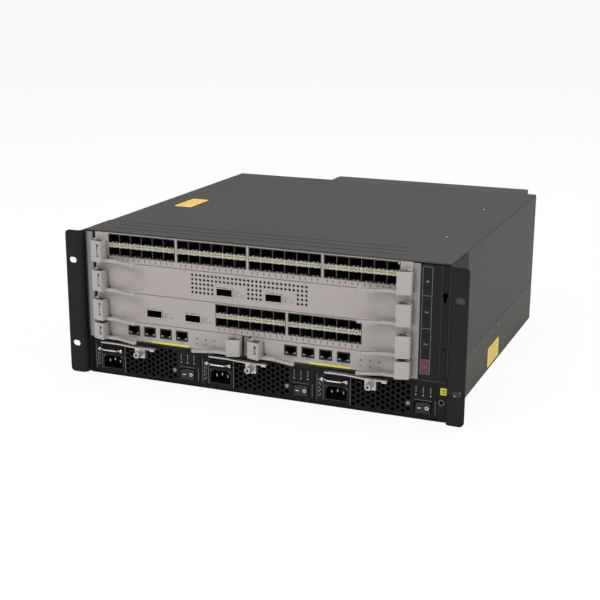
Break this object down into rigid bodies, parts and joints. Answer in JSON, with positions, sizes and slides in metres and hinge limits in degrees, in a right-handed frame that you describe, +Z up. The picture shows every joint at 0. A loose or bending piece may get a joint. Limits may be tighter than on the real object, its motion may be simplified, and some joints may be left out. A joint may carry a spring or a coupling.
{
  "type": "modular network switch",
  "caption": "Rack mounting modular chassis with full width and half width cards, mains power modules below and a fan tray at the rear",
  "frame": {"origin": "middle of the chassis underside, between its left and right sides and its front face and rear wall", "axes": "+X right as seen from the front, +Y towards the rear, +Z up"},
  "size_m": [0.4826, 0.4927, 0.175],
  "materials": {
    "chassis_paint": "satin grey paint",
    "cover_paint": "matte grey paint",
    "zinc_sheet": "zinc plated",
    "backplane_board": "satin solder mask",
    "ear_paint": "matte black paint",
    "bright_rail": "brushed",
    "dark_panel": "matte black paint",
    "nickel": "nickel plated",
    "card_face": "satin warm grey paint",
    "circuit_board": "satin solder mask",
    "cage_steel": "tin plated",
    "cast_ejector": "satin light grey paint",
    "jack_plastic": "moulded",
    "power_paint": "matte black paint",
    "inlet_plastic": "moulded",
    "rocker_plastic": "moulded",
    "lever_steel": "plated",
    "tray_paint": "satin grey paint",
    "fan_plastic": "moulded",
    "rotor_plastic": "moulded"
  },
  "bodies": {
    "chassis": {"lower_tub": "chassis_paint", "upper_shell": "cover_paint", "mid_shelf": "zinc_sheet", "bay_dividers": "zinc_sheet", "card_guides": "zinc_sheet", "control_post": "zinc_sheet", "backplane": "backplane_board", "rack_ear_left": "ear_paint", "rack_ear_right": "ear_paint", "slot_rails": "bright_rail", "label_panel": "dark_panel", "wrist_strap_jack": "nickel"},
    "line_card_1": {"line_card_1_faceplate": "card_face", "line_card_1_board": "circuit_board", "line_card_1_cages": "cage_steel"},
    "line_card_1_ejector_left": {"line_card_1_ejector_left": "cast_ejector"},
    "line_card_1_ejector_right": {"line_card_1_ejector_right": "cast_ejector"},
    "line_card_2": {"line_card_2_faceplate": "card_face", "line_card_2_board": "circuit_board", "line_card_2_cages": "cage_steel"},
    "line_card_2_ejector_left": {"line_card_2_ejector_left": "cast_ejector"},
    "line_card_2_ejector_right": {"line_card_2_ejector_right": "cast_ejector"},
    "line_card_3": {"line_card_3_faceplate": "card_face", "line_card_3_board": "circuit_board", "line_card_3_cages": "cage_steel"},
    "line_card_3_ejector_left": {"line_card_3_ejector_left": "cast_ejector"},
    "line_card_3_ejector_right": {"line_card_3_ejector_right": "cast_ejector"},
    "control_card_1": {"control_card_1_faceplate": "card_face", "control_card_1_board": "circuit_board", "control_card_1_jacks": "jack_plastic"},
    "control_card_1_ejector_left": {"control_card_1_ejector_left": "cast_ejector"},
    "control_card_1_ejector_right": {"control_card_1_ejector_right": "cast_ejector"},
    "control_card_2": {"control_card_2_faceplate": "card_face", "control_card_2_board": "circuit_board", "control_card_2_jacks": "jack_plastic"},
    "control_card_2_ejector_left": {"control_card_2_ejector_left": "cast_ejector"},
    "control_card_2_ejector_right": {"control_card_2_ejector_right": "cast_ejector"},
    "power_1": {"power_1_case": "power_paint", "power_1_inlet": "inlet_plastic"},
    "power_1_rocker": {"power_1_rocker": "rocker_plastic"},
    "power_1_lever": {"power_1_lever": "lever_steel"},
    "power_1_thumbscrew": {"power_1_thumbscrew": "nickel"},
    "power_1_bail": {"power_1_bail": "nickel"},
    "power_2": {"power_2_case": "power_paint", "power_2_inlet": "inlet_plastic"},
    "power_2_rocker": {"power_2_rocker": "rocker_plastic"},
    "power_2_lever": {"power_2_lever": "lever_steel"},
    "power_2_thumbscrew": {"power_2_thumbscrew": "nickel"},
    "power_2_bail": {"power_2_bail": "nickel"},
    "power_3": {"power_3_case": "power_paint", "power_3_inlet": "inlet_plastic"},
    "power_3_rocker": {"power_3_rocker": "rocker_plastic"},
    "power_3_lever": {"power_3_lever": "lever_steel"},
    "power_3_thumbscrew": {"power_3_thumbscrew": "nickel"},
    "power_3_bail": {"power_3_bail": "nickel"},
    "fan_tray": {"fan_tray": "tray_paint", "fan_frames": "fan_plastic", "tray_screws": "nickel"},
    "fan_rotor_left": {"fan_rotor_left": "rotor_plastic"},
    "fan_rotor_right": {"fan_rotor_right": "rotor_plastic"}
  },
  "joints": [
    {"name": "line_card_1_slide", "type": "slide", "parent": "chassis", "child": "line_card_1", "axis": [0, -1, 0], "range_m": [0, 0.32]},
    {"name": "line_card_1_ejector_left_swing", "type": "hinge", "parent": "line_card_1", "child": "line_card_1_ejector_left", "pos_m": [-0.2042, -0.2185, 0.1507], "axis": [0, 0, -1], "range_deg": [0, 65]},
    {"name": "line_card_1_ejector_right_swing", "type": "hinge", "parent": "line_card_1", "child": "line_card_1_ejector_right", "pos_m": [0.1762, -0.2185, 0.1507], "axis": [0, 0, 1], "range_deg": [0, 65]},
    {"name": "line_card_2_slide", "type": "slide", "parent": "chassis", "child": "line_card_2", "axis": [0, -1, 0], "range_m": [0, 0.32]},
    {"name": "line_card_2_ejector_left_swing", "type": "hinge", "parent": "line_card_2", "child": "line_card_2_ejector_left", "pos_m": [-0.2042, -0.2185, 0.11575], "axis": [0, 0, -1], "range_deg": [0, 65]},
    {"name": "line_card_2_ejector_right_swing", "type": "hinge", "parent": "line_card_2", "child": "line_card_2_ejector_right", "pos_m": [0.1762, -0.2185, 0.11575], "axis": [0, 0, 1], "range_deg": [0, 65]},
    {"name": "line_card_3_slide", "type": "slide", "parent": "chassis", "child": "line_card_3", "axis": [0, -1, 0], "range_m": [0, 0.32]},
    {"name": "line_card_3_ejector_left_swing", "type": "hinge", "parent": "line_card_3", "child": "line_card_3_ejector_left", "pos_m": [-0.2042, -0.2185, 0.0808], "axis": [0, 0, -1], "range_deg": [0, 65]},
    {"name": "line_card_3_ejector_right_swing", "type": "hinge", "parent": "line_card_3", "child": "line_card_3_ejector_right", "pos_m": [0.1762, -0.2185, 0.0808], "axis": [0, 0, 1], "range_deg": [0, 65]},
    {"name": "control_card_1_slide", "type": "slide", "parent": "chassis", "child": "control_card_1", "axis": [0, -1, 0], "range_m": [0, 0.32]},
    {"name": "control_card_1_ejector_left_swing", "type": "hinge", "parent": "control_card_1", "child": "control_card_1_ejector_left", "pos_m": [-0.2042, -0.2185, 0.05765], "axis": [0, 0, -1], "range_deg": [0, 65]},
    {"name": "control_card_1_ejector_right_swing", "type": "hinge", "parent": "control_card_1", "child": "control_card_1_ejector_right", "pos_m": [-0.0221, -0.2185, 0.05765], "axis": [0, 0, 1], "range_deg": [0, 65]},
    {"name": "control_card_2_slide", "type": "slide", "parent": "chassis", "child": "control_card_2", "axis": [0, -1, 0], "range_m": [0, 0.32]},
    {"name": "control_card_2_ejector_left_swing", "type": "hinge", "parent": "control_card_2", "child": "control_card_2_ejector_left", "pos_m": [-0.0059, -0.2185, 0.05765], "axis": [0, 0, -1], "range_deg": [0, 65]},
    {"name": "control_card_2_ejector_right_swing", "type": "hinge", "parent": "control_card_2", "child": "control_card_2_ejector_right", "pos_m": [0.1762, -0.2185, 0.05765], "axis": [0, 0, 1], "range_deg": [0, 65]},
    {"name": "power_1_slide", "type": "slide", "parent": "chassis", "child": "power_1", "axis": [0, -1, 0], "range_m": [0, 0.3]},
    {"name": "power_1_rocker_tilt", "type": "hinge", "parent": "power_1", "child": "power_1_rocker", "pos_m": [-0.0896, -0.2105, 0.0135], "axis": [0, 0, -1], "range_deg": [0, 16]},
    {"name": "power_1_lever_swing", "type": "hinge", "parent": "power_1", "child": "power_1_lever", "pos_m": [-0.1981, -0.2189, 0.041], "axis": [0, 0, -1], "range_deg": [0, 80]},
    {"name": "power_1_thumbscrew_turn", "type": "hinge", "parent": "power_1_lever", "child": "power_1_thumbscrew", "pos_m": [-0.1456, -0.2261, 0.0352], "axis": [0, 1, 0], "continuous": true},
    {"name": "power_1_bail_drop", "type": "hinge", "parent": "power_1", "child": "power_1_bail", "pos_m": [-0.1897, -0.2179, 0.0314], "axis": [1, 0, 0], "range_deg": [0, 110]},
    {"name": "power_2_slide", "type": "slide", "parent": "chassis", "child": "power_2", "axis": [0, -1, 0], "range_m": [0, 0.3]},
    {"name": "power_2_rocker_tilt", "type": "hinge", "parent": "power_2", "child": "power_2_rocker", "pos_m": [0.05187, -0.2105, 0.0135], "axis": [0, 0, -1], "range_deg": [0, 16]},
    {"name": "power_2_lever_swing", "type": "hinge", "parent": "power_2", "child": "power_2_lever", "pos_m": [-0.05663, -0.2189, 0.041], "axis": [0, 0, -1], "range_deg": [0, 80]},
    {"name": "power_2_thumbscrew_turn", "type": "hinge", "parent": "power_2_lever", "child": "power_2_thumbscrew", "pos_m": [-0.00413, -0.2261, 0.0352], "axis": [0, 1, 0], "continuous": true},
    {"name": "power_2_bail_drop", "type": "hinge", "parent": "power_2", "child": "power_2_bail", "pos_m": [-0.04823, -0.2179, 0.0314], "axis": [1, 0, 0], "range_deg": [0, 110]},
    {"name": "power_3_slide", "type": "slide", "parent": "chassis", "child": "power_3", "axis": [0, -1, 0], "range_m": [0, 0.3]},
    {"name": "power_3_rocker_tilt", "type": "hinge", "parent": "power_3", "child": "power_3_rocker", "pos_m": [0.19333, -0.2105, 0.0135], "axis": [0, 0, -1], "range_deg": [0, 16]},
    {"name": "power_3_lever_swing", "type": "hinge", "parent": "power_3", "child": "power_3_lever", "pos_m": [0.08483, -0.2189, 0.041], "axis": [0, 0, -1], "range_deg": [0, 80]},
    {"name": "power_3_thumbscrew_turn", "type": "hinge", "parent": "power_3_lever", "child": "power_3_thumbscrew", "pos_m": [0.13733, -0.2261, 0.0352], "axis": [0, 1, 0], "continuous": true},
    {"name": "power_3_bail_drop", "type": "hinge", "parent": "power_3", "child": "power_3_bail", "pos_m": [0.09323, -0.2179, 0.0314], "axis": [1, 0, 0], "range_deg": [0, 110]},
    {"name": "fan_tray_slide", "type": "slide", "parent": "chassis", "child": "fan_tray", "axis": [0, 1, 0], "range_m": [0, 0.095]},
    {"name": "fan_rotor_left_spin", "type": "hinge", "parent": "fan_tray", "child": "fan_rotor_left", "pos_m": [0.0005, 0.2312, 0.10935], "axis": [0, 1, 0], "continuous": true},
    {"name": "fan_rotor_right_spin", "type": "hinge", "parent": "fan_tray", "child": "fan_rotor_right", "pos_m": [0.1255, 0.2312, 0.10935], "axis": [0, 1, 0], "continuous": true}
  ]
}
